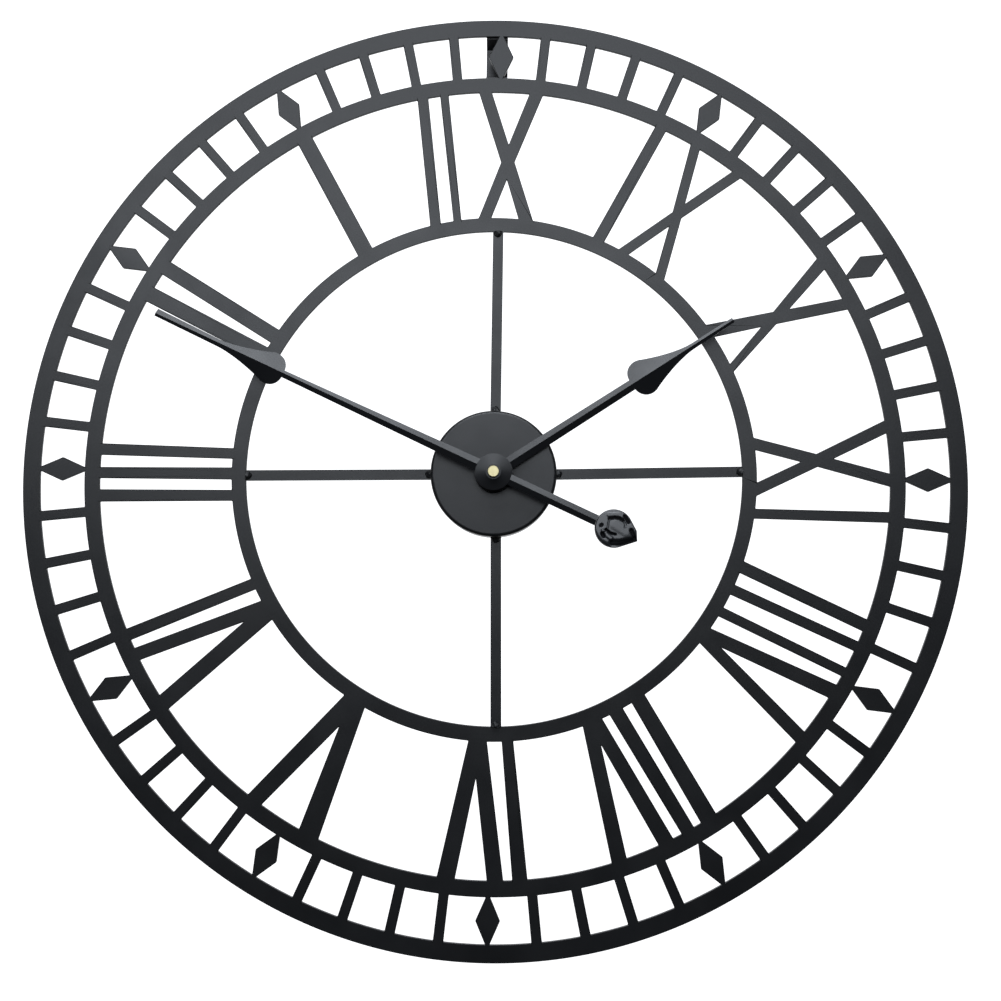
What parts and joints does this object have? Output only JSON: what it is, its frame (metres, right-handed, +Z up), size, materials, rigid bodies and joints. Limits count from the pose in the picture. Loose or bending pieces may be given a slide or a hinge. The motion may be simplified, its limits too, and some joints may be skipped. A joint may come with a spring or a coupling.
{
  "type": "wall clock",
  "caption": "Round skeleton wall clock: openwork steel dial with Roman numerals, centre cup on spokes, quartz movement and folded spade hands.",
  "frame": {"origin": "centre of the nail hole, on the back face of the hanger plate", "axes": "+Z up, +Y into the wall, +X to the right as the dial is read from the room"},
  "size_m": [0.5999, 0.044, 0.6],
  "materials": {
    "satin_black_steel": "satin powder coat",
    "folded_black_steel": "satin paint on folded sheet",
    "brass": "turned and lightly polished",
    "bright_steel": "fine brushed",
    "black_plastic": "moulded, fine texture",
    "white_plastic": "moulded acetal",
    "circuit_board": "solder mask",
    "copper_wire": "enamelled copper wire",
    "magnet": "sintered magnet",
    "rubber": "matt",
    "battery_jacket": "printed sleeve on a steel can"
  },
  "bodies": {
    "clock_frame": {"outer_ring": "satin_black_steel", "minute_bars": "satin_black_steel", "hour_diamonds": "satin_black_steel", "minute_track_ring": "satin_black_steel", "numeral_xii": "satin_black_steel", "numeral_xi": "satin_black_steel", "numeral_x": "satin_black_steel", "numeral_ix": "satin_black_steel", "numeral_viii": "satin_black_steel", "numeral_vii": "satin_black_steel", "numeral_vi": "satin_black_steel", "numeral_v": "satin_black_steel", "numeral_iv": "satin_black_steel", "numeral_iii": "satin_black_steel", "numeral_ii": "satin_black_steel", "numeral_i": "satin_black_steel", "inner_ring": "satin_black_steel", "spokes": "satin_black_steel", "weld_beads": "satin_black_steel", "centre_cup": "satin_black_steel", "hanger_plate": "satin_black_steel", "movement_case": "black_plastic", "back_cover": "black_plastic", "middle_plate": "white_plastic", "threaded_bushing": "brass", "rubber_washer": "rubber", "hex_nut": "brass", "stator": "bright_steel", "coil_core": "bright_steel", "coil_bobbin": "black_plastic", "coil_winding": "copper_wire", "circuit_board": "circuit_board", "driver_chip": "black_plastic", "quartz_crystal": "bright_steel", "battery_contact_plus": "bright_steel", "battery_contact_minus": "bright_steel"},
    "minute_hand_set": {"minute_shaft": "bright_steel", "minute_hub": "folded_black_steel", "minute_hand": "folded_black_steel", "tail_medallion": "folded_black_steel", "hand_nut": "brass"},
    "hour_hand_set": {"hour_wheel": "white_plastic", "hour_hub": "folded_black_steel", "hour_hand": "folded_black_steel"},
    "minute_wheel": {"minute_wheel": "white_plastic"},
    "setting_knob": {"setting_knob": "white_plastic"},
    "centre_wheel": {"centre_wheel": "white_plastic"},
    "third_wheel": {"third_wheel": "white_plastic"},
    "second_wheel": {"second_wheel": "white_plastic"},
    "fifth_wheel": {"fifth_wheel": "white_plastic"},
    "rotor": {"rotor": "bright_steel", "rotor_magnet": "magnet"},
    "battery": {"battery": "battery_jacket"}
  },
  "joints": [
    {"name": "minute_hand_spin", "type": "hinge", "parent": "clock_frame", "child": "minute_hand_set", "pos_m": [0, -0.024, -0.275], "axis": [0, -1, 0], "continuous": true},
    {"name": "hour_hand_spin", "type": "hinge", "parent": "clock_frame", "child": "hour_hand_set", "pos_m": [0, -0.024, -0.275], "axis": [0, -1, 0], "continuous": true},
    {"name": "minute_wheel_spin", "type": "hinge", "parent": "clock_frame", "child": "minute_wheel", "pos_m": [-0.01, -0.014, -0.275], "axis": [0, -1, 0], "continuous": true},
    {"name": "setting_knob_spin", "type": "hinge", "parent": "clock_frame", "child": "setting_knob", "pos_m": [-0.02057, -0.006, -0.27115], "axis": [0, -1, 0], "continuous": true},
    {"name": "second_wheel_spin", "type": "hinge", "parent": "clock_frame", "child": "second_wheel", "pos_m": [0, -0.007, -0.275], "axis": [0, -1, 0], "continuous": true},
    {"name": "third_wheel_spin", "type": "hinge", "parent": "clock_frame", "child": "third_wheel", "pos_m": [0, -0.009, -0.26348], "axis": [0, -1, 0], "continuous": true},
    {"name": "centre_wheel_spin", "type": "hinge", "parent": "clock_frame", "child": "centre_wheel", "pos_m": [0, -0.012, -0.275], "axis": [0, -1, 0], "continuous": true},
    {"name": "fifth_wheel_spin", "type": "hinge", "parent": "clock_frame", "child": "fifth_wheel", "pos_m": [0.00846, -0.006, -0.27192], "axis": [0, -1, 0], "continuous": true},
    {"name": "rotor_spin", "type": "hinge", "parent": "clock_frame", "child": "rotor", "pos_m": [0.01546, -0.006, -0.27192], "axis": [0, -1, 0], "continuous": true},
    {"name": "battery_removal", "type": "slide", "parent": "clock_frame", "child": "battery", "axis": [0, 1, 0], "range_m": [0, 0.03]}
  ],
  "couplings": [
    {"joint": "hour_hand_spin", "follows": "minute_hand_spin", "ratio": 0.083333},
    {"joint": "minute_wheel_spin", "follows": "minute_hand_spin", "ratio": -0.33333},
    {"joint": "setting_knob_spin", "follows": "minute_hand_spin", "ratio": 0.66667},
    {"joint": "third_wheel_spin", "follows": "second_wheel_spin", "ratio": -0.13333},
    {"joint": "centre_wheel_spin", "follows": "second_wheel_spin", "ratio": 0.016667},
    {"joint": "fifth_wheel_spin", "follows": "second_wheel_spin", "ratio": -5},
    {"joint": "rotor_spin", "follows": "second_wheel_spin", "ratio": 30}
  ]
}
